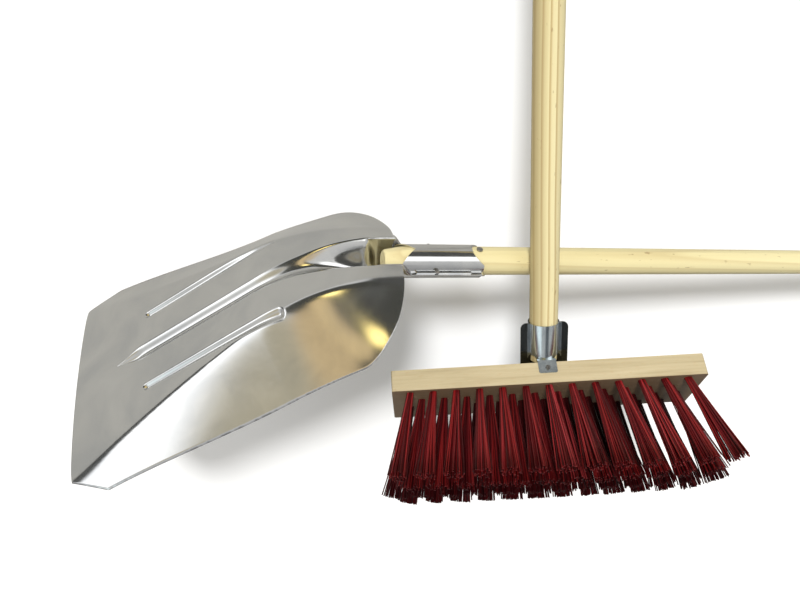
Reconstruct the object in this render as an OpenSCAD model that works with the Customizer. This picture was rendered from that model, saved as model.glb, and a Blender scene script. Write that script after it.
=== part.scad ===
// Aluminium scoop shovel and street broom, laid crosswise as a set.
// The shovel lies hollow side down on one rim and on the end of its handle.
// The broom's handle lies across the shovel's handle, and its end rests on the floor.

/* [Shovel blade] */
// Length of the blade's sheet from the cutting edge to its rear edge, along the middle
blade_l = 376; // [365:1:390]
// Half width between the creases at the cutting edge
edge_half = 108; // [105:0.5:112]
// Half width between the creases half way along
mid_half = 56.5; // [53:0.5:60]
// Half width between the creases at the rear
rear_half = 35; // [33:0.5:39]
// Half width between the rims at the front corners
rim_front = 129.5; // [124:0.5:132]
// Half width between the rims half way along
rim_mid = 114; // [110:0.5:118]
// Half width that the straight rims run to at the rear
rim_rear = 101; // [98:0.5:104]
// Height of the side walls' line at the cutting edge
wall_front = 12; // [6:1:14]
// Height of the side walls one third of the way back
wall_third = 29.5; // [26:0.5:33]
// Height of the side walls two thirds of the way back
wall_two_thirds = 48.5; // [44:0.5:52]
// Height of the side walls at the rear
wall_rear = 23; // [20:0.5:30]
// Length of the cut front corners
corner_cut = 35; // [30:1:40]
// Length of the rounded rear corners along the sheet
corner_long = 55; // [50:1:62]
// Width of the rounded rear corners across the sheet
corner_wide = 81.5; // [78:0.5:83]
// How far the cutting edge bows forward
edge_bow = 5; // [0:0.5:8]
// Angle between the floor of the blade and the handle
dish_angle = 42.9; // [38:0.1:46]
// Radius of the bend behind the floor of the blade
dish_r = 169; // [160:1:180]
// Thickness of the sheet
sheet_t = 1.5; // [1.2:0.1:2]

/* [Pressed ribs] */
// Distance of each side rib from the middle
rib_side = 46; // [44:0.5:48]
// Distance of the ribs' front tips from the cutting edge
rib_front = 90; // [80:1:100]
// Distance of the ribs' rear ends from the cutting edge
rib_rear = 258; // [250:1:265]
// Depth of the side ribs
rib_deep = 4; // [3:0.2:5]
// Distance of the middle groove's tip from the cutting edge
groove_front = 50; // [44:1:60]
// Depth of the middle groove on the floor of the blade
groove_deep = 6; // [5:0.2:7]

/* [Socket] */
// Length of the half-round tang and of its cover
socket_l = 88; // [80:1:92]
// Half width of the tang over its side flanges
flange_half = 21.5; // [20:0.5:22]
// Thickness of the cover's sheet
cover_t = 1.2; // [1:0.1:1.5]
// Length of the arch cut into the front of the cover
arch_l = 17; // [12:1:20]

/* [Handles] */
// Radius of both handles where they cross
handle_r = 14.5; // [14.4:0.05:14.55]
// Radius at the free end of the shovel's handle
shovel_end_r = 13.2; // [13:0.1:13.4]
// Length of the shovel's handle behind the blade
shovel_handle_l = 1250; // [1240:5:1260]
// Distance from the block to the free end of the broom's handle
broom_handle_l = 1250; // [1240:5:1260]

/* [Broom head] */
// Length of the block
block_l = 320; // [310:1:330]
// Width of the block
block_w = 75; // [74:1:78]
// Height of the block
block_h = 23; // [22:0.5:26]
// Distance from the front face to the point where the handle's axis meets the block
handle_seat = 30; // [29:0.5:31]
// Angle that the handle leans forward from upright on the block
handle_lean = 50.2; // [49:0.2:51]
// Free length of the tufts
tuft_l = 96; // [85:1:100]
// Radius of a tuft at its root
tuft_r = 4; // [3.5:0.1:4.2]
// Radius of a tuft at its cut end
tuft_end_r = 10; // [7:0.5:10.5]
// Distance between the tufts of a row
tuft_pitch = 23.6; // [22.5:0.1:24]
// Distance from the front face to the first row
first_row = 8; // [7.5:0.1:9]
// Angle that the outer rows lean away from the middle
row_splay = 14; // [10:1:16]
// Angle that the tufts at the ends of the block lean outward
end_splay = 12; // [8:1:13]

/* [Broom bracket] */
// Thickness of the bracket's sheet
bracket_t = 1.2; // [1:0.1:1.4]
// Distance along the handle from the block to the top of the bracket
bracket_top = 61; // [58:1:66]
// Half width over the ears of the rear bracket
ear_half = 24.5; // [23:0.5:26]
// Half width over the flanges of the front bracket
front_half = 17.6; // [17:0.2:18]
// Width of the tab on the block's face
tab_w = 19; // [18:0.5:22]

/* [Hidden] */
$fn = 64;
// Room left between pieces that only touch
gap = 0.05;

// How the shovel lies: roll about its handle, fall of the handle, heading of the handle
shovel_turn = [110.68, 6.346, -7.3];
// Where the handle's axis passes the rear edge of the blade
shovel_at = [95.3, -284.8, 150.43];
// How the broom lies
broom_turn = [-147.853, -7.84, 3.04];
// Where the broom handle's axis meets the top of the block
broom_at = [248.6, -415.6, 178.28];
// Shift that puts the middle of the set's box over the origin
centre = [-544.11, -140.59, 0];

// Where the sheet lies beside the handle's axis at the rear edge, on the outer side
sheet_level = -9;
// Extra height of the lips beside the handle's trough
lip_rise = 6.5;
// Level of the tang's side flanges
flange_level = -1.3;
// Straight stretch of sheet in front of the rear edge
straight_l = 21;
// Bottom of the trough that holds the handle
trough_bottom = handle_r + 0.6;
// Softness of the creases beside the floor
crease_soft = 4;
// Distance along the sheet from the cutting edge to the end of the tang
sheet_end = blade_l + socket_l;

// Colours
aluminium = [0.76, 0.77, 0.78];
pale_wood = [0.88, 0.76, 0.52];
block_wood = [0.84, 0.72, 0.52];
zinc = [0.62, 0.68, 0.68];
red = [0.62, 0.03, 0.06];
steel = [0.5, 0.5, 0.5];

// A number held between 0 and 1, eased at both ends
function ease(x) = let (c = min(1, max(0, x))) c * c * (3 - 2 * c);
// A value that passes through p at 0, q at 0.5 and r at 1
function through(p, q, r, t) = p * (1 - t) * (1 - 2 * t) + 4 * q * t * (1 - t) + r * t * (2 * t - 1);
// A value that passes through the four values of p at 0, 1/3, 2/3 and 1
function through_four(p, t) =
    (p[0] * (1 - t) * (1 - 3 * t) * (2 - 3 * t) + p[3] * t * (3 * t - 1) * (3 * t - 2)
     + 9 * t * (1 - t) * (p[1] * (2 - 3 * t) - p[2] * (1 - 3 * t))) / 2;
function mix(p, q, t) = p + (q - p) * t;
// A ramp that is zero below 0 and rises softly
function soft_ramp(x, e) = (x + sqrt(x * x + 4 * e * e)) / 2;

// In these functions a is the distance along the sheet from the cutting edge
function rim_half(a) = through(rim_front, rim_mid, rim_rear, a / blade_l);
function crease_half(a) = through(edge_half, mid_half, rear_half, a / blade_l);
corner_start = blade_l - corner_long;
corner_end_half = rim_half(corner_start) - corner_wide;
function half_width(a) =
    a < corner_cut ? mix(edge_half, rim_half(corner_cut), a / corner_cut)
    : a < corner_start ? rim_half(a)
    : a <= blade_l
    ? corner_end_half + corner_wide * sqrt(max(0, 1 - pow((a - corner_start) / corner_long, 2)))
    : mix(corner_end_half, flange_half, ease((a - blade_l) / 5));

// Height of the side wall above the floor at the distance v from the middle
wall_heights = [wall_front, wall_third, wall_two_thirds, wall_rear];
function wall(a, v) =
    a > blade_l ? 0
    : through_four(wall_heights, a / blade_l) / (rim_half(a) - crease_half(a))
      * soft_ramp(abs(v) - crease_half(a), crease_soft);

// Level of the sheet beside the trough
function level(a, v) =
    let (t = blade_l - a, lip = lip_rise * exp(-pow(v / 28, 2)))
    t > 0 ? sheet_level - lip * (1 - ease(t / 100))
    : mix(sheet_level - lip, flange_level, ease(-t / 12));

// Middle groove, which widens at the rear into the trough that holds the handle
function groove_half(a) =
    let (t = blade_l - a)
    t < 0 ? mix(18, handle_r + 1.3, ease(-t / 12))
    : (9 + 9 * (1 - ease((t - 20) / 130))) * max(0.05, ease((a - groove_front) / 40));
function groove_depth(a) =
    let (deep = trough_bottom - level(a, 0), shallow = groove_deep * ease((a - groove_front) / 30))
    mix(deep, shallow, ease((blade_l - a - 30) / 75));
function groove(a, v) =
    let (r = abs(v) / groove_half(a))
    r >= 1 ? 0 : groove_depth(a) * sqrt(1 - pow(r, 2.5));

// Side ribs, pressed to the inner side like the groove, with rounded ends
function rib(a, v) =
    let (half = mix(3.4, 5.2, (a - rib_front) / (rib_rear - rib_front)),
         along = max(0, rib_front + half - a, a - rib_rear + half),
         r = norm([along, abs(v) - rib_side]) / max(half, 1))
    r >= 1.3 ? 0 : rib_deep * (1 + cos(180 * r / 1.3)) / 2;

// A point of the sheet's outer face. X runs along the handle and Z to the inner side
function sheet_point(a0, v) =
    let (a = a0 - edge_bow * (1 - pow(v / edge_half, 2)) * (1 - ease(a0 / 60)),
         t = blade_l - a,
         bend = min(max(0, (t - straight_l) / dish_r * 180 / PI), dish_angle),
         rest = max(0, t - straight_l - dish_r * dish_angle * PI / 180),
         w = wall(a0, v) + groove(a0, v) + rib(a0, v))
    [-(min(t, straight_l) + dish_r * sin(bend) + rest * cos(dish_angle) - w * sin(bend)),
     v,
     dish_r * (1 - cos(bend)) + rest * sin(dish_angle) + w * cos(bend) + level(a0, v)];
function sheet_normal(a, v) =
    let (d = 0.5,
         da = sheet_point(a - d, v) - sheet_point(a + d, v),
         dv = sheet_point(a, v + d) - sheet_point(a, v - d),
         n = cross(dv, da))
    n / norm(n);

// Stations along the sheet, closer together at the front corners, rear corners and tang
sheet_rows = concat([0, 12, 24, corner_cut],
    [for (i = [1:26]) mix(corner_cut, corner_start, i / 26)],
    [for (i = [1:7]) corner_start + corner_long * sin(90 * i / 7.6)],
    [blade_l, blade_l + 2.5, blade_l + 5, blade_l + 8.5, blade_l + 12],
    [for (i = [1:3]) mix(blade_l + 12, sheet_end, i / 3)]);
// Distances of the stations across it, close together at the groove and ribs
inner_cols = [3.5, 7, 10.5, 14, 17.5, 24, 34, 40, 43, 46, 49, 52, 60];
inner_half = 60;
outer_steps = 8;
function column(a, i) =
    let (inner = min(1, 0.6 * half_width(a) / inner_half), n = len(inner_cols))
    i == 0 ? 0
    : i <= n ? inner_cols[i - 1] * inner
    : mix(inner_half * inner, half_width(a), (i - n) / outer_steps);
side_count = len(inner_cols) + outer_steps;
sheet_cols = [for (i = [-side_count:side_count]) i];

module sheet() {
    rows = len(sheet_rows);
    cols = len(sheet_cols);
    outer = [for (a = sheet_rows) for (i = sheet_cols) sheet_point(a, sign(i) * column(a, abs(i)))];
    inner = [for (a = sheet_rows) for (i = sheet_cols)
        let (v = sign(i) * column(a, abs(i))) sheet_point(a, v) + sheet_t * sheet_normal(a, v)];
    n = rows * cols;
    quads = [for (r = [0:rows - 2]) for (c = [0:cols - 2])
        [r * cols + c, r * cols + c + 1, (r + 1) * cols + c + 1, (r + 1) * cols + c]];
    border = concat(
        [for (c = [0:cols - 2]) [c, c + 1]],
        [for (r = [0:rows - 2]) [r * cols + cols - 1, (r + 1) * cols + cols - 1]],
        [for (c = [cols - 1:-1:1]) [(rows - 1) * cols + c, (rows - 1) * cols + c - 1]],
        [for (r = [rows - 1:-1:1]) [r * cols, (r - 1) * cols]]);
    faces = concat(
        [for (q = quads) [q[0], q[1], q[2]]],
        [for (q = quads) [q[0], q[2], q[3]]],
        [for (q = quads) [n + q[2], n + q[1], n + q[0]]],
        [for (q = quads) [n + q[3], n + q[2], n + q[0]]],
        [for (e = border) [e[1], e[0], n + e[0]]],
        [for (e = border) [e[1], n + e[0], n + e[1]]]);
    polyhedron(points = concat(outer, inner), faces = faces);
}

module lay_shovel() translate(shovel_at + centre) rotate(shovel_turn) children();
module lay_broom() translate(broom_at + centre) rotate(broom_turn) children();
// Turns +Z into the shovel handle's direction
module along_shovel() rotate([0, 90, 0]) children();
// Turns +Z into the broom handle's direction
module along_broom() rotate([handle_lean, 0, 0]) children();

module shovel_blade() color(aluminium) lay_shovel() sheet();

rivet_x = 38;
rivet_y = 18.3;
cover_r = handle_r + 0.4;
cover_flange_half = 19.6;
module socket_cover() color(aluminium) lay_shovel() difference() {
    union() {
        along_shovel() difference() {
            cylinder(h = socket_l, r = cover_r + cover_t);
            translate([0, 0, -1]) cylinder(h = socket_l + 2, r = cover_r);
        }
        for (side = [-1, 1])
            translate([arch_l, side > 0 ? cover_r + 0.2 : -cover_flange_half, flange_level - gap - cover_t])
                cube([socket_l - arch_l - 14, cover_flange_half - cover_r - 0.2, cover_t]);
    }
    // The half that the tang takes
    translate([-1, -30, flange_level - gap]) cube([socket_l + 2, 60, 40]);
    // Arch over the end of the handle
    translate([0, 0, -40]) linear_extrude(40)
        polygon([[-1, -cover_r - 2], [arch_l * 0.6, -6], [arch_l, 0], [arch_l * 0.6, 6], [-1, cover_r + 2]]);
    // Slanting rear end
    translate([socket_l - 14, -30, -cover_r - cover_t - 1]) rotate([0, 55, 0]) translate([0, 0, -10])
        cube([30, 60, 40]);
}

module socket_rivets() color(steel) lay_shovel() {
    for (side = [-1, 1]) translate([rivet_x, side * rivet_y, flange_level - gap - cover_t]) {
        difference() {
            translate([0, 0, 0.4]) sphere(r = 2.6);
            translate([-5, -5, -gap]) cube([10, 10, 10]);
        }
    }
}

nail_x = 85;
module socket_nail() color(steel) lay_shovel() rotate([-3, 0, 0]) translate([nail_x, 0, 0]) {
    translate([0, 0, -handle_r - 1.2]) cylinder(h = 1.2 - gap, r = 3.2);
    translate([0, 0, -handle_r - 1]) cylinder(h = 14, r = 1.2);
}

// Blunt tip of the shovel's handle, in front of the blade's rear edge
tip_l = 13;
dome = 8;
module shovel_handle() color(pale_wood) lay_shovel() along_shovel() rotate_extrude() polygon(concat(
    [[0, -tip_l], [9.5, -tip_l], [11, -tip_l + 2], [13.6, 4], [handle_r - 0.2, 14], [handle_r, 24]],
    [for (k = [0:10:80]) [shovel_end_r - dome * (1 - cos(k)), shovel_handle_l - dome + dome * sin(k)]],
    [[0, shovel_handle_l]]));

rows_x = [for (row = [0:3]) let (n = row % 2 == 0 ? 13 : 12)
    [for (i = [0:n - 1]) (i - (n - 1) / 2) * tuft_pitch]];
row_pitch = (block_w - 2 * first_row) / 3;
hole_deep = 13;
hole_r = tuft_r + 0.1;
wire_r = 0.6;
// Places children at the mouth of each tuft hole of one row, with -Z along the tuft
module tuft_places(row) for (x = rows_x[row])
    translate([x, -handle_seat + first_row + row * row_pitch, -block_h])
        rotate([row_splay * (row - 1.5) / 1.5, -end_splay * x / (block_l / 2), 0]) children();

chamfer = 1.5;
module broom_block() color(block_wood) lay_broom() difference() {
    translate([0, block_w / 2 - handle_seat, -block_h]) linear_extrude(block_h)
        polygon([for (sx = [-1, 1]) for (sy = [-sx, sx])
            for (k = sx * sy > 0 ? [0, 1] : [1, 0])
                [sx * (block_l / 2 - chamfer * k), sy * (block_w / 2 - chamfer * (1 - k))]]);
    for (row = [0:3]) tuft_places(row) translate([0, 0, -6]) cylinder(h = hole_deep + 6, r = hole_r, $fn = 32);
}

module bristle_row(row) color(red) lay_broom() tuft_places(row) {
    translate([0, 0, -gap]) cylinder(h = hole_deep - 2 * wire_r - 3 * gap, r = tuft_r, $fn = 32);
    translate([0, 0, -tuft_l]) cylinder(h = tuft_l, r1 = tuft_end_r, r2 = tuft_r, $fn = 32);
}

module anchor_wires(row) color(steel) lay_broom() tuft_places(row)
    translate([0, 0, hole_deep - wire_r - gap]) rotate([0, 90, 0])
        cylinder(h = 2 * tuft_r - 1.4, r = wire_r, center = true, $fn = 16);

// Start of the broom's handle, where its lower corner just clears the block
broom_start = handle_r * tan(handle_lean) + 0.8;
module broom_handle() color(pale_wood) lay_broom() along_broom() rotate_extrude() polygon(concat(
    [[0, broom_start], [handle_r - 1, broom_start], [handle_r, broom_start + 1]],
    [for (k = [0:10:80]) [handle_r - dome * (1 - cos(k)), broom_handle_l - dome + dome * sin(k)]],
    [[0, broom_handle_l]]));

// Bracket shells around the handle. In these modules Z runs along the handle, and -Y to the front
shell_r = handle_r + 0.3;
ear_plane = -5;
ear_round = 6;
// How far the rear shell runs on below the point where the axis meets the block
foot_reach = 28;
module handle_room() translate([0, 0, -foot_reach - 1]) cylinder(h = bracket_top + 40, r = shell_r);
module keep_above_block() difference() {
    along_broom() children();
    translate([-60, -60, -60 + gap]) cube([120, 160, 60]);
}
module bracket_back() color(zinc) lay_broom() {
    keep_above_block() difference() {
        union() {
            translate([0, 0, -foot_reach]) cylinder(h = bracket_top + foot_reach, r = shell_r + bracket_t);
            for (side = [0, 1]) mirror([side, 0, 0]) translate([0, ear_plane + bracket_t, 0])
                rotate([90, 0, 0]) linear_extrude(bracket_t) union() {
                    translate([shell_r - 2, 0]) square([ear_half - shell_r + 2, bracket_top - ear_round]);
                    translate([shell_r - 2, 0]) square([ear_half - shell_r + 2 - ear_round, bracket_top]);
                    translate([ear_half - ear_round, bracket_top - ear_round]) circle(ear_round);
                }
        }
        handle_room();
        translate([-30, ear_plane - 30 - gap, -foot_reach]) cube([60, 30, bracket_top + 40]);
    }
    difference() {
        translate([-ear_half, 16, gap]) cube([2 * ear_half, 27, bracket_t]);
        along_broom() handle_room();
    }
}

// Where the front face's upper edge lies along the handle
face_edge = handle_seat * sin(handle_lean);
front_arc_half = 13.6;
module bracket_front() color(zinc) lay_broom() {
    along_broom() difference() {
        union() {
            intersection() {
                translate([0, 0, face_edge]) cylinder(h = bracket_top - face_edge, r = shell_r + bracket_t);
                translate([-front_arc_half - 0.6, -30, 0]) cube([2 * front_arc_half + 1.2, 30, 100]);
            }
            for (side = [0, 1]) mirror([side, 0, 0])
                translate([front_arc_half - 1, ear_plane - bracket_t - 2 * gap, face_edge])
                    cube([front_half - front_arc_half + 1, bracket_t, bracket_top - face_edge]);
        }
        translate([0, 0, -1]) cylinder(h = bracket_top + 10, r = shell_r);
        translate([-30, ear_plane - 2 * gap, -1]) cube([60, 60, bracket_top + 10]);
        // Round notches beside the tab
        for (side = [-1, 1]) translate([side * 13, 0, face_edge]) rotate([90, 0, 0]) cylinder(h = 40, r = 3.8);
    }
    // Strap that bends over the block's edge and down its face, with rounded lower corners
    intersection() {
        translate([-tab_w / 2, 0, 0]) rotate([90, 0, 90]) linear_extrude(tab_w) polygon(strap_side);
        rotate([90, 0, 0]) linear_extrude(60) offset(r = 2) offset(delta = -2)
            translate([-tab_w / 2, -tab_drop]) square([tab_w, 40]);
    }
}
strap_y = -handle_seat - gap;
// How far the strap comes down the block's face
tab_drop = 12.3;
// Side view of the strap, from the foot of the shell down the face
strap_side = [
    [strap_y + 3.3, 3.6],
    [strap_y + 1.2, 4.4],
    [strap_y - bracket_t, 1.6],
    [strap_y - bracket_t, -tab_drop],
    [strap_y, -tab_drop],
    [strap_y, 0.8]];

module nail(head_r, shank_l) {
    cylinder(h = 1, r = head_r, $fn = 32);
    translate([0, 0, -shank_l]) cylinder(h = shank_l, r = 1, $fn = 32);
}
module tab_nail() color(steel) lay_broom()
    translate([0, strap_y - bracket_t - gap, -6.5]) rotate([90, 0, 0]) nail(2.4, 16);
module bracket_nails() color(steel) lay_broom()
    for (side = [-1, 1]) translate([side * 14, 38, bracket_t + 2 * gap]) nail(2.8, 12);
module handle_nail() color(steel) lay_broom() along_broom()
    translate([0, shell_r + bracket_t + gap, 48]) rotate([-90, 0, 0]) nail(2.8, 14);

shovel_blade();
socket_cover();
socket_rivets();
socket_nail();
shovel_handle();
broom_block();
broom_handle();
bracket_front();
bracket_back();
bracket_nails();
tab_nail();
handle_nail();
bristle_row(0);  // bristle_row_1
bristle_row(1);  // bristle_row_2
bristle_row(2);  // bristle_row_3
bristle_row(3);  // bristle_row_4
anchor_wires(0);  // anchor_wires_1
anchor_wires(1);  // anchor_wires_2
anchor_wires(2);  // anchor_wires_3
anchor_wires(3);  // anchor_wires_4
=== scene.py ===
"""Looks of the scoop shovel and street broom set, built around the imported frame."""

import math
import random

import bmesh
import bpy
import numpy as np
from mathutils import Euler, Matrix, Vector


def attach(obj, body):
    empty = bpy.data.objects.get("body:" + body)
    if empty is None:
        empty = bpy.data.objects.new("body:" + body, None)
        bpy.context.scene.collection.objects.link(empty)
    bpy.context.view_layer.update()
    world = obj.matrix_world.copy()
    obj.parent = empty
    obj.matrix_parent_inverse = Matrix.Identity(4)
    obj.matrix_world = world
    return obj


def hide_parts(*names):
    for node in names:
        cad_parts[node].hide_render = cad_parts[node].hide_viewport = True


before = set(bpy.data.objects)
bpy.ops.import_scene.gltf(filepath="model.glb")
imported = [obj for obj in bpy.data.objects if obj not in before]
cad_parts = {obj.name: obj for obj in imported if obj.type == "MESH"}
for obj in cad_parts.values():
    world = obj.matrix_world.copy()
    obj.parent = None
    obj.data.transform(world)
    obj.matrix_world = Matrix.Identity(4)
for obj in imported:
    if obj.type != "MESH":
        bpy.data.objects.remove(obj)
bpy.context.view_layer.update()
MM = 0.001

# Where the two tools lie: a point on each handle's axis, and the turn of each tool's own frame
CENTRE = Vector((-544.11, -140.59, 0.0))
SHOVEL_AT = Vector((95.3, -284.8, 150.43)) + CENTRE
SHOVEL_TURN = (110.68, 6.346, -7.3)
BROOM_AT = Vector((248.6, -415.6, 178.28)) + CENTRE
BROOM_TURN = (-147.853, -7.84, 3.04)
HANDLE_LEAN = 50.2
BLOCK_L, BLOCK_W, BLOCK_H = 320.0, 75.0, 23.0


def placing(at, turn):
    angles = [math.radians(a) for a in turn]
    return Matrix.Translation(at * MM) @ Euler(angles, "XYZ").to_matrix().to_4x4()


SHOVEL = placing(SHOVEL_AT, SHOVEL_TURN)
BROOM = placing(BROOM_AT, BROOM_TURN)
BROOM_HANDLE = BROOM @ Euler((math.radians(HANDLE_LEAN), 0, 0)).to_matrix().to_4x4()


# ---------------------------------------------------------------- material helpers

class Nodes:
    """Short calls for building the node tree of a material or a world."""

    def __init__(self, owner):
        owner.use_nodes = True
        self.tree = owner.node_tree

    def add(self, kind, **values):
        node = self.tree.nodes.new(kind)
        for key, value in values.items():
            setattr(node, key, value)
        return node

    def link(self, source, target):
        self.tree.links.new(source, target)

    def put(self, node, key, value):
        if isinstance(value, bpy.types.NodeSocket):
            self.link(value, node.inputs[key])
        else:
            node.inputs[key].default_value = value

    def local(self, placed):
        """Coordinates in a tool's own frame, in metres."""
        coord = self.add("ShaderNodeTexCoord")
        mapping = self.add("ShaderNodeMapping", vector_type="TEXTURE")
        self.link(coord.outputs["Object"], mapping.inputs["Vector"])
        mapping.inputs["Location"].default_value = placed.to_translation()
        mapping.inputs["Rotation"].default_value = placed.to_euler("XYZ")
        return mapping.outputs["Vector"]

    def scaled(self, vector, scale):
        node = self.add("ShaderNodeVectorMath", operation="MULTIPLY")
        self.link(vector, node.inputs[0])
        node.inputs[1].default_value = scale
        return node.outputs["Vector"]

    def noise(self, vector, scale=1.0, detail=4.0, rough=0.5, distortion=0.0):
        node = self.add("ShaderNodeTexNoise")
        self.link(vector, node.inputs["Vector"])
        node.inputs["Scale"].default_value = scale
        node.inputs["Detail"].default_value = detail
        node.inputs["Roughness"].default_value = rough
        node.inputs["Distortion"].default_value = distortion
        return node.outputs["Fac"]

    def maths(self, operation, first, second=0.0, third=0.0):
        node = self.add("ShaderNodeMath", operation=operation)
        for index, value in enumerate((first, second, third)):
            self.put(node, index, value)
        return node.outputs["Value"]

    def ramp(self, factor, *stops):
        node = self.add("ShaderNodeValToRGB")
        self.link(factor, node.inputs["Fac"])
        elements = node.color_ramp.elements
        while len(elements) < len(stops):
            elements.new(0.5)
        for element, (place, colour) in zip(elements, stops):
            element.position = place
            element.color = (*colour, 1.0)
        return node.outputs["Color"]

    def blend(self, factor, first, second):
        node = self.add("ShaderNodeMix", data_type="RGBA", blend_type="MIX")
        self.put(node, 0, factor)
        for index, value in ((6, first), (7, second)):
            self.put(node, index, (*value, 1.0) if isinstance(value, tuple) else value)
        return node.outputs[2]

    def bump(self, height, distance, strength=1.0, below=None):
        node = self.add("ShaderNodeBump")
        self.link(height, node.inputs["Height"])
        node.inputs["Distance"].default_value = distance
        node.inputs["Strength"].default_value = strength
        if below is not None:
            self.link(below, node.inputs["Normal"])
        return node.outputs["Normal"]


class MaterialNodes(Nodes):
    """A new material with its node tree and its shader."""

    def __init__(self, name):
        self.material = bpy.data.materials.new(name)
        super().__init__(self.material)
        self.shader = self.tree.nodes["Principled BSDF"]


def aluminium_material():
    """Rolled and polished sheet: lengthwise drawing lines, cloudy polish, fine scratches."""
    n = MaterialNodes("aluminium_sheet")
    place = n.local(SHOVEL)
    lines = n.noise(n.scaled(place, (14, 1500, 1500)), detail=5, rough=0.65)
    fine = n.noise(n.scaled(place, (60, 5200, 5200)), detail=3)
    clouds = n.noise(place, scale=16, detail=5, rough=0.6, distortion=0.8)
    scuffs = n.noise(n.scaled(place, (220, 90, 90)), detail=6, rough=0.75, distortion=2.5)
    tone = n.ramp(clouds, (0.25, (0.60, 0.61, 0.62)), (0.55, (0.72, 0.72, 0.71)),
                  (0.8, (0.80, 0.795, 0.78)))
    tone = n.blend(n.maths("MULTIPLY", lines, 0.16), tone, (0.52, 0.53, 0.54))
    n.link(tone, n.shader.inputs["Base Color"])
    rough = n.maths("MULTIPLY_ADD", clouds, 0.05, 0.10)
    rough = n.maths("MULTIPLY_ADD", fine, 0.03, rough)
    scratched = n.maths("SMOOTH_MIN", n.maths("MULTIPLY_ADD", scuffs, 2.4, -1.35), 0.3)
    rough = n.maths("MULTIPLY_ADD", n.maths("MAXIMUM", scratched, 0.0), 0.2, rough)
    n.link(rough, n.shader.inputs["Roughness"])
    n.shader.inputs["Metallic"].default_value = 1.0
    n.shader.inputs["Anisotropic"].default_value = 0.35
    wavy = n.bump(clouds, 0.0006, 0.05)
    drawn = n.bump(lines, 0.00003, 0.12, wavy)
    n.link(n.bump(fine, 0.00001, 0.1, drawn), n.shader.inputs["Normal"])
    return n.material


RINGS_PER_METRE = 150.0


def pine_material(name, placed, rings_from, slant, seed, stripes, heart):
    """Turned pine: growth rings around a pith beside the stick, a darker side, fine pores and specks."""
    n = MaterialNodes(name)
    place = n.local(placed)
    parts = n.add("ShaderNodeSeparateXYZ")
    n.link(place, parts.inputs["Vector"])
    wander = n.noise(n.scaled(place, (6, 6, 1.6)), detail=3, distortion=0.4)
    across = n.maths("ADD", parts.outputs["X"], rings_from[0])
    across = n.maths("MULTIPLY_ADD", parts.outputs["Z"], slant, across)
    across = n.maths("MULTIPLY_ADD", wander, 0.016, across)
    beside = n.maths("ADD", parts.outputs["Y"], rings_from[1])
    reach = n.maths("SQRT", n.maths("ADD", n.maths("MULTIPLY", across, across),
                                    n.maths("MULTIPLY", beside, beside)))
    ring = n.maths("FRACT", n.maths("MULTIPLY_ADD", reach, RINGS_PER_METRE, seed))
    late = n.ramp(ring, (0.0, (0.1, 0.1, 0.1)), (0.55, (0.25, 0.25, 0.25)), (0.86, (1, 1, 1)),
                  (0.97, (0.1, 0.1, 0.1)))
    broad = n.noise(n.scaled(place, (22, 22, 0.9)), detail=2)
    fibres = n.noise(n.scaled(place, (900, 900, 26)), detail=5, rough=0.7)
    pale = n.ramp(broad, (0.3, (0.72, 0.64, 0.35)), (0.7, (0.84, 0.78, 0.47)))
    wood = n.blend(n.maths("MULTIPLY", late, stripes), pale, (0.36, 0.22, 0.075))
    # Darker heartwood on one side of the stick
    side = n.ramp(n.maths("MULTIPLY_ADD", across, 30.0, heart), (0.25, (1, 1, 1)), (0.6, (0, 0, 0)))
    wood = n.blend(n.maths("MULTIPLY", side, stripes * 0.75), wood, (0.33, 0.245, 0.105))
    wood = n.blend(n.maths("MULTIPLY", fibres, 0.22), wood, (0.50, 0.36, 0.15))
    specks = n.noise(n.scaled(place, (320, 320, 90)), detail=2, rough=0.4)
    specks = n.ramp(specks, (0.70, (0, 0, 0)), (0.76, (1, 1, 1)))
    wood = n.blend(n.maths("MULTIPLY", specks, 0.55), wood, (0.24, 0.14, 0.06))
    n.link(wood, n.shader.inputs["Base Color"])
    n.link(n.maths("MULTIPLY_ADD", fibres, 0.22, 0.40), n.shader.inputs["Roughness"])
    grain = n.bump(fibres, 0.00018, 0.35)
    n.link(n.bump(late, 0.00012, 0.3, grain), n.shader.inputs["Normal"])
    return n.material


def block_material():
    """Planed hardwood: straight lengthwise grain, short flecks, painted shade on the face with the tuft
    holes.
    """
    n = MaterialNodes("beech_block")
    place = n.local(BROOM)
    grain = n.noise(n.scaled(place, (9, 170, 170)), detail=6, rough=0.62, distortion=0.5)
    flecks = n.noise(n.scaled(place, (150, 900, 900)), detail=3, rough=0.5)
    broad = n.noise(n.scaled(place, (7, 24, 24)), detail=3, distortion=1.0)
    wood = n.ramp(grain, (0.28, (0.37, 0.30, 0.175)), (0.5, (0.48, 0.405, 0.25)),
                  (0.72, (0.56, 0.48, 0.31)))
    wood = n.blend(n.maths("MULTIPLY", broad, 0.4), wood, (0.49, 0.39, 0.24))
    dark = n.ramp(flecks, (0.58, (0, 0, 0)), (0.68, (1, 1, 1)))
    wood = n.blend(n.maths("MULTIPLY", dark, 0.35), wood, (0.46, 0.30, 0.15))
    # Painted shade darkens the face with the tuft holes: its last millimetre of thickness
    parts = n.add("ShaderNodeSeparateXYZ")
    n.link(place, parts.inputs["Vector"])
    below = n.maths("MULTIPLY_ADD", parts.outputs["Z"], -1 / MM, 1.0 - BLOCK_H)
    painted_underside_shade = n.ramp(below, (0.4, (0, 0, 0)), (0.8, (1, 1, 1)))
    wood = n.blend(n.maths("MULTIPLY", painted_underside_shade, 0.84), wood, (0.10, 0.052, 0.028))
    n.link(wood, n.shader.inputs["Base Color"])
    n.link(n.maths("MULTIPLY_ADD", flecks, 0.2, 0.48), n.shader.inputs["Roughness"])
    n.link(n.bump(flecks, 0.0002, 0.4, n.bump(grain, 0.0003, 0.25)), n.shader.inputs["Normal"])
    return n.material


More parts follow.
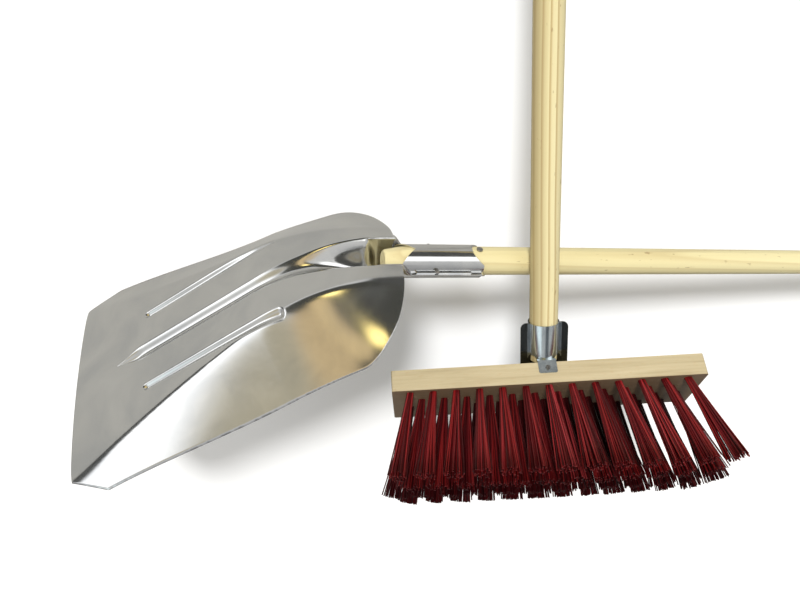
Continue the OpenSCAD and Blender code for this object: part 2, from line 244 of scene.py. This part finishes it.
def zinc_material(name, dull, bright):
    """Bright zinc plating with a cool cast, faint crystals and handling marks."""
    n = MaterialNodes(name)
    place = n.local(BROOM_HANDLE)
    cells = n.add("ShaderNodeTexVoronoi")
    n.link(place, cells.inputs["Vector"])
    cells.inputs["Scale"].default_value = 420
    marks = n.noise(n.scaled(place, (160, 160, 40)), detail=6, rough=0.7)
    tone = n.ramp(marks, (0.3, dull), (0.65, bright))
    tone = n.blend(n.maths("MULTIPLY", cells.outputs["Distance"], 0.25), tone, dull)
    n.link(tone, n.shader.inputs["Base Color"])
    n.shader.inputs["Metallic"].default_value = 1.0
    n.link(n.maths("MULTIPLY_ADD", marks, 0.16, 0.10), n.shader.inputs["Roughness"])
    n.link(n.bump(marks, 0.00012, 0.3), n.shader.inputs["Normal"])
    return n.material


def steel_material():
    """Plain steel wire and nail heads, a little tarnished."""
    n = MaterialNodes("rivet_steel")
    place = n.local(BROOM)
    marks = n.noise(place, scale=700, detail=5, rough=0.7)
    tone = n.ramp(marks, (0.35, (0.20, 0.19, 0.18)), (0.65, (0.55, 0.54, 0.52)))
    n.link(tone, n.shader.inputs["Base Color"])
    n.shader.inputs["Metallic"].default_value = 1.0
    n.link(n.maths("MULTIPLY_ADD", marks, 0.3, 0.22), n.shader.inputs["Roughness"])
    n.link(n.bump(marks, 0.0001, 0.4), n.shader.inputs["Normal"])
    return n.material


def bristle_material():
    """Red plastic filament: each one a little different, with drawn lines along it."""
    n = MaterialNodes("red_bristle")
    place = n.local(BROOM)
    each = n.add("ShaderNodeNewGeometry").outputs["Random Per Island"]
    drawn = n.noise(n.scaled(place, (2600, 2600, 60)), detail=2)
    tone = n.ramp(each, (0.0, (0.03, 0.002, 0.003)), (0.45, (0.13, 0.005, 0.007)),
                  (0.85, (0.27, 0.012, 0.012)), (1.0, (0.36, 0.035, 0.04)))
    tone = n.blend(n.maths("MULTIPLY", drawn, 0.3), tone, (0.10, 0.003, 0.006))
    # Painted shade: the inner rows are darker than the row at the front
    parts = n.add("ShaderNodeSeparateXYZ")
    n.link(place, parts.inputs["Vector"])
    depth = n.maths("MULTIPLY_ADD", parts.outputs["Y"], 26.0, 0.62)
    painted_row_shade = n.ramp(depth, (0.1, (0, 0, 0)), (0.75, (0.82, 0.82, 0.82)))
    tone = n.blend(painted_row_shade, tone, (0.018, 0.002, 0.003))
    n.link(tone, n.shader.inputs["Base Color"])
    n.link(n.maths("MULTIPLY_ADD", drawn, 0.2, 0.30), n.shader.inputs["Roughness"])
    n.shader.inputs["Specular IOR Level"].default_value = 0.45
    n.link(n.bump(drawn, 0.00005, 0.4), n.shader.inputs["Normal"])
    return n.material


def floor_material():
    """Plain studio floor: near white to the camera, mid grey to the light it gives back."""
    n = MaterialNodes("floor")
    coord = n.add("ShaderNodeTexCoord").outputs["Object"]
    mottle = n.noise(coord, scale=3, detail=2)
    tone = n.ramp(mottle, (0.3, (0.95, 0.95, 0.95)), (0.7, (0.97, 0.97, 0.97)))
    seen = n.add("ShaderNodeLightPath").outputs["Is Camera Ray"]
    n.link(n.blend(seen, (0.42, 0.415, 0.395), tone), n.shader.inputs["Base Color"])
    n.shader.inputs["Roughness"].default_value = 0.9
    n.shader.inputs["Specular IOR Level"].default_value = 0.0
    return n.material


# ---------------------------------------------------------------- mesh helpers

WELD, FLAT_ANGLE = 0.002 * MM, math.radians(0.6)


def smoothed(mesh):
    for polygon in mesh.polygons:
        polygon.use_smooth = True


def new_mesh(name, verts, faces, material, placed):
    mesh = bpy.data.meshes.new(name)
    mesh.from_pydata([tuple(v) for v in verts], [], [tuple(f) for f in faces])
    mesh.validate()
    piece = bpy.data.objects.new(name, mesh)
    bpy.context.scene.collection.objects.link(piece)
    mesh.transform(placed)
    mesh.materials.append(material)
    smoothed(mesh)
    return piece


def apply_modifiers(piece):
    graph = bpy.context.evaluated_depsgraph_get()
    mesh = bpy.data.meshes.new_from_object(piece.evaluated_get(graph))
    piece.modifiers.clear()
    piece.data = mesh


def stand_for(piece, body, slot, *nodes):
    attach(piece, body)
    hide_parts(*nodes)


def softened(node, body, slot, material, width, turn_angle=28):
    """A copy of a CAD node with its sharp edges rounded."""
    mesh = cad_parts[node].data.copy()
    mesh.name = node + "_soft"
    work = bmesh.new()
    work.from_mesh(mesh)
    bmesh.ops.remove_doubles(work, verts=work.verts, dist=WELD)
    bmesh.ops.dissolve_limit(work, angle_limit=FLAT_ANGLE, verts=work.verts, edges=work.edges)
    work.to_mesh(mesh)
    work.free()
    piece = bpy.data.objects.new(node + "_soft", mesh)
    bpy.context.scene.collection.objects.link(piece)
    mesh.materials.clear()
    mesh.materials.append(material)
    bevel = piece.modifiers.new("bevel", "BEVEL")
    bevel.width = width
    bevel.segments = 2
    bevel.limit_method = "ANGLE"
    bevel.angle_limit = math.radians(turn_angle)
    apply_modifiers(piece)
    smoothed(piece.data)
    normals = piece.modifiers.new("normals", "WEIGHTED_NORMAL")
    normals.keep_sharp = True
    stand_for(piece, body, slot, node)


# ---------------------------------------------------------------- shovel blade
# The frame's sheet drawn finer, with sharper creases, and with rounded lips on the groove in front of
# the handle's tip. Lengths in millimetres, a runs back from the cutting edge, v across, w inwards.

BLADE_L, SOCKET_L = 376.0, 88.0
EDGE_HALF, MID_HALF, REAR_HALF = 108.0, 56.5, 35.0
RIM_FRONT, RIM_MID, RIM_REAR = 129.5, 114.0, 101.0
WALL_HEIGHTS = (12.0, 29.5, 48.5, 23.0)
CORNER_CUT, CORNER_LONG, CORNER_WIDE, EDGE_BOW = 35.0, 55.0, 81.5, 5.0
DISH_ANGLE, DISH_R, STRAIGHT_L = math.radians(42.9), 169.0, 21.0
SHEET_T = 1.5
RIB_SIDE, RIB_FRONT, RIB_REAR, RIB_DEEP = 46.0, 90.0, 258.0, 4.0
RIB_HALF_FRONT, RIB_HALF_REAR, RIB_FOOT = 3.4, 5.2, 1.3
GROOVE_FRONT, GROOVE_DEEP = 50.0, 6.0
GROOVE_HALF, TROUGH_HALF, TANG_HALF = 9.0, 18.0, 15.8
GROOVE_TIP_L, GROOVE_ENTRY_L, WIDENING_AT, WIDENING_L = 40.0, 30.0, 20.0, 130.0
TROUGH_DEEP_L, TROUGH_FADE_L, TROUGH_POWER, PRESSED_FOOT = 30.0, 75.0, 2.5, 1.15
# In front of the handle's tip the groove is pressed with rounded lips, behind it the trough is half round
PRESSED_END, PRESSED_FADE_L = 346.0, 14.0
FLANGE_HALF, FLANGE_LEVEL = 21.5, -1.3
SHEET_LEVEL, LIP_RISE, LIP_HALF, LIP_L = -9.0, 6.5, 28.0, 100.0
# Lengths over which the corner turns into the tang, and the tang into its flat flanges
TANG_NECK_L, TANG_FADE_L = 5.0, 12.0
HANDLE_R = 14.5
TROUGH_BOTTOM = HANDLE_R + 0.6
# The creases are as soft as the frame's at the cutting edge and pressed sharper behind it
FRONT_SOFT, CREASE_SOFT, FRONT_L = 4.0, 1.8, 60.0
RIM_ROUND, RIM_ANGLE, NORMAL_STEP = 0.35, 60.0, 0.4


def ease(x):
    c = np.clip(x, 0, 1)
    return c * c * (3 - 2 * c)


def mix(p, q, t):
    return p + (q - p) * t


def through(p, q, r, t):
    return p * (1 - t) * (1 - 2 * t) + 4 * q * t * (1 - t) + r * t * (2 * t - 1)


def through_four(p, t):
    ends = p[0] * (1 - t) * (1 - 3 * t) * (2 - 3 * t) + p[3] * t * (3 * t - 1) * (3 * t - 2)
    return (ends + 9 * t * (1 - t) * (p[1] * (2 - 3 * t) - p[2] * (1 - 3 * t))) / 2


def rim_half(a):
    return through(RIM_FRONT, RIM_MID, RIM_REAR, a / BLADE_L)


def half_width(a):
    start = BLADE_L - CORNER_LONG
    end_half = rim_half(start) - CORNER_WIDE
    corner = end_half + CORNER_WIDE * np.sqrt(np.clip(1 - ((a - start) / CORNER_LONG) ** 2, 0, None))
    tang = mix(end_half, FLANGE_HALF, ease((a - BLADE_L) / TANG_NECK_L))
    return np.where(a < CORNER_CUT, mix(EDGE_HALF, rim_half(CORNER_CUT), a / CORNER_CUT),
                    np.where(a < start, rim_half(a), np.where(a <= BLADE_L, corner, tang)))


def wall(a, v):
    crease = through(EDGE_HALF, MID_HALF, REAR_HALF, a / BLADE_L)
    x = np.abs(v) - crease
    rise = through_four(WALL_HEIGHTS, a / BLADE_L) / (rim_half(a) - crease)
    soft = mix(FRONT_SOFT, CREASE_SOFT, ease(a / FRONT_L))
    return np.where(a > BLADE_L, 0, rise * (x + np.sqrt(x * x + 4 * soft ** 2)) / 2)


def level(a, v):
    t = BLADE_L - a
    lip = LIP_RISE * np.exp(-(v / LIP_HALF) ** 2)
    return np.where(t > 0, SHEET_LEVEL - lip * (1 - ease(t / LIP_L)),
                    mix(SHEET_LEVEL - lip, FLANGE_LEVEL, ease(-t / TANG_FADE_L)))


def groove_half(a):
    t = BLADE_L - a
    tip = np.maximum(0.05, ease((a - GROOVE_FRONT) / GROOVE_TIP_L))
    widening = 1 - ease((t - WIDENING_AT) / WIDENING_L)
    ahead = (GROOVE_HALF + (TROUGH_HALF - GROOVE_HALF) * widening) * tip
    return np.where(t < 0, mix(TROUGH_HALF, TANG_HALF, ease(-t / TANG_FADE_L)), ahead)


def groove(a, v):
    t = BLADE_L - a
    half = groove_half(a)
    deep = TROUGH_BOTTOM - level(a, 0 * v)
    shallow = GROOVE_DEEP * ease((a - GROOVE_FRONT) / GROOVE_ENTRY_L)
    depth = mix(deep, shallow, ease((t - TROUGH_DEEP_L) / TROUGH_FADE_L))
    r = np.abs(v) / half
    half_round = np.sqrt(np.clip(1 - r ** TROUGH_POWER, 0, None))
    pressed = (1 + np.cos(np.pi * np.clip(r / PRESSED_FOOT, 0, 1))) / 2
    return depth * mix(pressed, half_round, ease((a - PRESSED_END) / PRESSED_FADE_L))


def rib(a, v):
    half = mix(RIB_HALF_FRONT, RIB_HALF_REAR, (a - RIB_FRONT) / (RIB_REAR - RIB_FRONT))
    along = np.maximum(0, np.maximum(RIB_FRONT + half - a, a - RIB_REAR + half))
    r = np.hypot(along, np.abs(v) - RIB_SIDE) / np.maximum(half, 1)
    return RIB_DEEP * (1 + np.cos(np.pi * np.minimum(r / RIB_FOOT, 1))) / 2


def sheet_point(a0, v):
    a = a0 - EDGE_BOW * (1 - (v / EDGE_HALF) ** 2) * (1 - ease(a0 / FRONT_L))
    t = BLADE_L - a
    bend = np.clip((t - STRAIGHT_L) / DISH_R, 0, DISH_ANGLE)
    rest = np.clip(t - STRAIGHT_L - DISH_R * DISH_ANGLE, 0, None)
    w = wall(a0, v) + groove(a0, v) + rib(a0, v)
    forward = np.minimum(t, STRAIGHT_L) + (DISH_R - w) * np.sin(bend) + rest * math.cos(DISH_ANGLE)
    inward = DISH_R + (w - DISH_R) * np.cos(bend) + rest * math.sin(DISH_ANGLE) + level(a0, v)
    return np.stack([-forward, v, inward], axis=-1)


def shovel_blade(material):
    start = BLADE_L - CORNER_LONG
    angles = np.linspace(0, math.pi / 2, 45)
    stations = np.concatenate([
        np.linspace(0, CORNER_CUT, 24, endpoint=False),
        np.linspace(CORNER_CUT, start, 200, endpoint=False),
        start + CORNER_LONG * np.sin(angles[:-1]),
        np.linspace(BLADE_L, BLADE_L + TANG_FADE_L, 12, endpoint=False),
        np.linspace(BLADE_L + TANG_FADE_L, BLADE_L + SOCKET_L, 24)])
    # Columns follow the groove's lip, so that the lip stays a clean line
    widest = half_width(stations)[:, None]
    lip = np.minimum(np.maximum(groove_half(stations)[:, None], 2.5), 0.97 * widest)
    inner_edge = np.maximum(np.minimum(60.0, 0.6 * widest), 1.25 * lip)
    inner_edge = np.minimum(inner_edge, 0.99 * widest)
    in_groove = lip * np.sin(np.linspace(0, math.pi / 2, 20))[None, :]
    beside = mix(lip, inner_edge, np.linspace(0, 1, 55)[None, 1:])
    far = mix(inner_edge, widest, np.linspace(0, 1, 23)[None, 1:])
    side = np.concatenate([in_groove, beside, far], axis=1)
    across = np.concatenate([-side[:, :0:-1], side], axis=1)
    along = np.repeat(stations[:, None], across.shape[1], axis=1)
    outer = sheet_point(along, across)
    da = sheet_point(along - NORMAL_STEP, across) - sheet_point(along + NORMAL_STEP, across)
    dv = sheet_point(along, across + NORMAL_STEP) - sheet_point(along, across - NORMAL_STEP)
    normal = np.cross(dv, da)
    normal /= np.linalg.norm(normal, axis=-1, keepdims=True)
    inner = outer + SHEET_T * normal
    rows, cols = along.shape
    count = rows * cols
    verts = np.concatenate([outer.reshape(-1, 3), inner.reshape(-1, 3)]) * MM
    grid = np.arange(count).reshape(rows, cols)
    quads = np.stack([grid[:-1, :-1], grid[:-1, 1:], grid[1:, 1:], grid[1:, :-1]], axis=-1).reshape(-1, 4)
    rim = np.concatenate([grid[0, :-1], grid[:-1, -1], grid[-1, :0:-1], grid[:0:-1, 0]])
    turn = np.roll(rim, -1)
    border = np.stack([turn, rim, rim + count, turn + count], axis=-1)
    faces = np.concatenate([quads, quads[:, ::-1] + count, border])
    piece = new_mesh("blade_sheet", verts, faces, material, SHOVEL)
    bm = bmesh.new()
    bm.from_mesh(piece.data)
    bmesh.ops.recalc_face_normals(bm, faces=bm.faces)
    # A small round on every rim
    edges = [e for e in bm.edges if e.is_manifold and e.calc_face_angle(0) > math.radians(RIM_ANGLE)]
    bmesh.ops.bevel(bm, geom=edges, offset=RIM_ROUND * MM, segments=2, affect="EDGES", clamp_overlap=True)
    bm.to_mesh(piece.data)
    bm.free()
    smoothed(piece.data)
    stand_for(piece, "shovel", "aluminium_sheet", "shovel_blade")


# ---------------------------------------------------------------- broom tufts

HANDLE_SEAT, FIRST_ROW, TUFT_PITCH = 30.0, 8.0, 23.6
ROW_PITCH = (BLOCK_W - 2 * FIRST_ROW) / 3
ROW_SPLAY, END_SPLAY = 14.0, 12.0
TUFT_L, TUFT_R, TUFT_END_R = 96.0, 3.85, 10.8
# The inner rows are a little more unruly than the front row
ROW_END_SPLAY = (1.0, 1.15, 1.25, 1.3)
ROW_SPREAD = (1.06, 1.3, 1.3, 1.1)
HOLE_DEEP = 11.0
FILAMENTS, FILAMENT_R, FILAMENT_SIDES = 46, 0.64, 6
# Rings of a filament below its hole as shares of its length, and how its spread grows along it
FILAMENT_STEPS, FLARE = (0.0, 0.18, 0.42, 0.7, 1.0), 1.12
# Turn between one filament and the next that fills a round tuft evenly, in radians
GOLDEN_TURN = 2.39996


def tuft_frames(row):
    count = 13 if row % 2 == 0 else 12
    for index in range(count):
        x = (index - (count - 1) / 2) * TUFT_PITCH
        at = Vector((x, -HANDLE_SEAT + FIRST_ROW + row * ROW_PITCH, -BLOCK_H))
        turn = Euler((math.radians(ROW_SPLAY * (row - 1.5) / 1.5),
                      math.radians(-END_SPLAY * ROW_END_SPLAY[row] * x / (BLOCK_L / 2)), 0))
        yield Matrix.Translation(at) @ turn.to_matrix().to_4x4()


def filament(placed, root, end, bow, length, verts, faces):
    """One round filament from inside its hole to its cut end."""
    first = len(verts)
    rings = [(0.0, HOLE_DEEP)] + [(share, -length * share) for share in FILAMENT_STEPS]
    for share, depth in rings:
        centre = root.lerp(end, share ** FLARE) + bow * (share * (1 - share))
        for k in range(FILAMENT_SIDES):
            angle = 2 * math.pi * k / FILAMENT_SIDES
            across = centre + FILAMENT_R * Vector((math.cos(angle), math.sin(angle)))
            verts.append(placed @ Vector((*across, depth)))
    for ring in range(len(rings) - 1):
        for k in range(FILAMENT_SIDES):
            following = (k + 1) % FILAMENT_SIDES
            low, high = first + ring * FILAMENT_SIDES, first + (ring + 1) * FILAMENT_SIDES
            faces.append((low + following, low + k, high + k, high + following))
    last = first + (len(rings) - 1) * FILAMENT_SIDES
    faces.append(tuple(last + k for k in range(FILAMENT_SIDES)))
    faces.append(tuple(first + k for k in reversed(range(FILAMENT_SIDES))))


def bristle_row(row, material):
    rng = random.Random(40 + row)
    verts, faces = [], []
    for placed in tuft_frames(row):
        squeeze = Vector((rng.uniform(0.85, 1.1), rng.uniform(0.75, 1.0)))
        for index in range(FILAMENTS):
            reach = math.sqrt((index + 0.5) / FILAMENTS)
            angle = index * GOLDEN_TURN + rng.uniform(-0.3, 0.3)
            root = Vector((math.cos(angle), math.sin(angle))) * (TUFT_R - FILAMENT_R) * reach
            spread = TUFT_END_R * ROW_SPREAD[row] * min(1.0, reach * rng.uniform(0.75, 1.12))
            aim = angle + rng.gauss(0, 0.22)
            end = Vector((math.cos(aim) * squeeze.x, math.sin(aim) * squeeze.y)) * spread
            bow = Vector((rng.gauss(0, 0.7), rng.gauss(0, 0.7)))
            length = TUFT_L - abs(rng.gauss(0, 1.1)) - 0.6 * reach
            filament(placed, root, end, bow, length, verts, faces)
    piece = new_mesh(f"bristles_{row + 1}", [v * MM for v in verts], faces, material, BROOM)
    stand_for(piece, "broom", "red_bristle", f"bristle_row_{row + 1}")


def splinters(material):
    """Curled wood fibres that the drill left beside the front rows' holes."""
    rng = random.Random(7)
    verts, faces = [], []
    for row in (0, 1):
        for placed in tuft_frames(row):
            for _ in range(rng.choice((1, 1, 2))):
                angle = rng.uniform(-0.9, 0.7)
                out = Vector((math.cos(angle), math.sin(angle), 0))
                start = out * (TUFT_R + 0.3) + Vector((0, 0, 0.6))
                length, curl = rng.uniform(3.5, 7.5), rng.uniform(0.5, 2.2)
                wide = rng.uniform(0.25, 0.5)
                cross = Vector((-out.y, out.x, 0))
                first = len(verts)
                for step in range(5):
                    s = step / 4
                    centre = start + out * length * s - Vector((0, 0, 1.6 * curl * s * s + 0.5 * s))
                    half = wide * (1 - 0.8 * s)
                    for side, lift in ((-1, 0), (0, 0.22), (1, 0), (0, -0.16)):
                        verts.append(placed @ (centre + cross * side * half + Vector((0, 0, lift))))
                for step in range(4):
                    low = first + 4 * step
                    for k in range(4):
                        following = (k + 1) % 4
                        faces.append((low + k, low + following, low + 4 + following, low + 4 + k))
                faces.append((first, first + 3, first + 2, first + 1))
                faces.append((first + 16, first + 17, first + 18, first + 19))
    piece = new_mesh("splinters", [v * MM for v in verts], faces, material, BROOM)
    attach(piece, "broom")


# ---------------------------------------------------------------- set

aluminium = aluminium_material()
shovel_pine = pine_material("shovel_pine", SHOVEL @ Euler((0, math.pi / 2, 0)).to_matrix().to_4x4(),
                            (0.030, 0.008), 0.016, 0.2, 0.3, 1.0)
broom_pine = pine_material("broom_pine", BROOM_HANDLE, (-0.024, 0.012), 0.008, 0.6, 0.8, 1.0)
beech = block_material()
zinc = zinc_material("zinc_sheet", (0.46, 0.51, 0.53), (0.74, 0.80, 0.82))
# A darker copy of the zinc paints shade on the back shell and its ears
painted_shade_zinc = zinc_material("painted_shade_zinc", (0.09, 0.095, 0.09), (0.17, 0.175, 0.165))
steel = steel_material()
red = bristle_material()

shovel_blade(aluminium)
softened("socket_cover", "shovel", "aluminium_sheet", aluminium, 0.25 * MM)
softened("broom_block", "broom", "beech_block", beech, 0.7 * MM, 50)
softened("bracket_front", "broom", "zinc_sheet", zinc, 0.25 * MM)
softened("bracket_back", "broom", "zinc_sheet", painted_shade_zinc, 0.25 * MM)
for row_index in range(4):
    bristle_row(row_index, red)
splinters(beech)

STEEL_NODES = ("socket_rivets", "socket_nail", "bracket_nails", "tab_nail", "handle_nail",
               "anchor_wires_1", "anchor_wires_2", "anchor_wires_3", "anchor_wires_4")
CARRIED = {"shovel_handle": shovel_pine, "broom_handle": broom_pine, **dict.fromkeys(STEEL_NODES, steel)}
for node_name, look in CARRIED.items():
    for material_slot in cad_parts[node_name].material_slots:
        material_slot.material = look


# ---------------------------------------------------------------- floor, light, camera

FLOOR_HALF = 6.0


def add_floor():
    mesh = bpy.data.meshes.new("floor")
    corners = [(x * FLOOR_HALF, y * FLOOR_HALF, 0) for x, y in ((-1, -1), (1, -1), (1, 1), (-1, 1))]
    mesh.from_pydata(corners, [], [(0, 1, 2, 3)])
    floor = bpy.data.objects.new("floor", mesh)
    bpy.context.scene.collection.objects.link(floor)
    mesh.materials.append(floor_material())


EYE = Vector((-0.54411, -0.14059, 0.7668))
LOOK = Vector((0.1415, -0.4661, -0.8733)).normalized()
UP = Vector((0.0746, 0.8847, -0.4601))
RIGHT = LOOK.cross(UP).normalized()
UP = RIGHT.cross(LOOK).normalized()
LENS, SENSOR = 31.5, 36.0
# The one lamp: a sun from over the camera's shoulder, its angular size in degrees and its strength
SUN_WAY = (LOOK + RIGHT * 0.10 - UP * 0.22).normalized()
SUN_SOFT, SUN_STRENGTH = 11.0, 2.9


def facing(at, direction, up):
    right = direction.cross(up).normalized()
    true_up = right.cross(direction).normalized()
    turn = Matrix((right, true_up, -direction)).transposed().to_4x4()
    return Matrix.Translation(at) @ turn


def add_camera():
    data = bpy.data.cameras.new("camera")
    data.sensor_width = SENSOR
    data.lens = LENS
    data.clip_start = 0.01
    camera = bpy.data.objects.new("camera", data)
    camera.matrix_world = facing(EYE, LOOK, UP)
    bpy.context.scene.collection.objects.link(camera)
    bpy.context.scene.camera = camera


def add_sun():
    data = bpy.data.lights.new("key", "SUN")
    data.angle = math.radians(SUN_SOFT)
    data.energy = SUN_STRENGTH
    light = bpy.data.objects.new("key", data)
    light.matrix_world = facing(Vector((0, 0, 1)), SUN_WAY, Vector((0.01, 1, 0.02)))
    # The metal mirrors the cards instead
    light.visible_glossy = False
    bpy.context.scene.collection.objects.link(light)


# Soft studio surroundings: a dim room, brighter on the +Y side, with cards that the metal mirrors.
# Each card: azimuth and elevation of its middle, inner and outer angle of its soft edge, colour
CARDS = (
    ((72, 28), (17, 24), (0.08, 0.08, 0.07)),
    ((60, 6), (15, 19), (0.10, 0.10, 0.095)),
    ((45, 46), (12, 17), (1.8, 1.8, 1.8)),
    ((-152, 38), (14, 22), (1.1, 1.2, 1.22)),
    ((-60, 72), (8, 15), (0.12, 0.13, 0.14)),
    ((104, 30), (24, 27), (0.08, 0.08, 0.07)),
    ((123, 66), (14, 18), (0.74, 0.56, 0.31)),
    ((150, 50), (6, 15), (0.54, 0.49, 0.36)),
    ((156, 24), (0, 22), (1.8, 1.82, 1.84)),
    ((157, -2), (15, 19), (0.10, 0.10, 0.095)),
    ((105, 49), (3, 7), (0.90, 0.68, 0.36)),
    ((95, 40), (2, 7), (2.8, 2.2, 0.8)),
)


def add_world():
    world = bpy.data.worlds.new("studio")
    bpy.context.scene.world = world
    n = Nodes(world)
    way = n.add("ShaderNodeTexCoord").outputs["Generated"]

    def towards(azimuth, elevation, inner, outer):
        a, e = math.radians(azimuth), math.radians(elevation)
        dot = n.add("ShaderNodeVectorMath", operation="DOT_PRODUCT")
        n.link(way, dot.inputs[0])
        middle = (math.cos(a) * math.cos(e), math.sin(a) * math.cos(e), math.sin(e))
        dot.inputs[1].default_value = middle
        reach = n.add("ShaderNodeMapRange", interpolation_type="SMOOTHSTEP")
        n.link(dot.outputs["Value"], reach.inputs["Value"])
        reach.inputs["From Min"].default_value = math.cos(math.radians(outer))
        reach.inputs["From Max"].default_value = math.cos(math.radians(inner))
        return reach.outputs["Result"]

    colour = n.blend(towards(90, 40, 0, 150), (0.14, 0.14, 0.15), (0.74, 0.74, 0.73))
    for (azimuth, elevation), (inner, outer), tint in CARDS:
        colour = n.blend(towards(azimuth, elevation, inner, outer), colour, tint)
    background = n.tree.nodes["Background"]
    n.link(colour, background.inputs["Color"])
    background.inputs["Strength"].default_value = 1.0


add_floor()
add_camera()
add_world()
add_sun()
scene = bpy.context.scene
scene.view_settings.view_transform = "Standard"
scene.view_settings.look = "None"
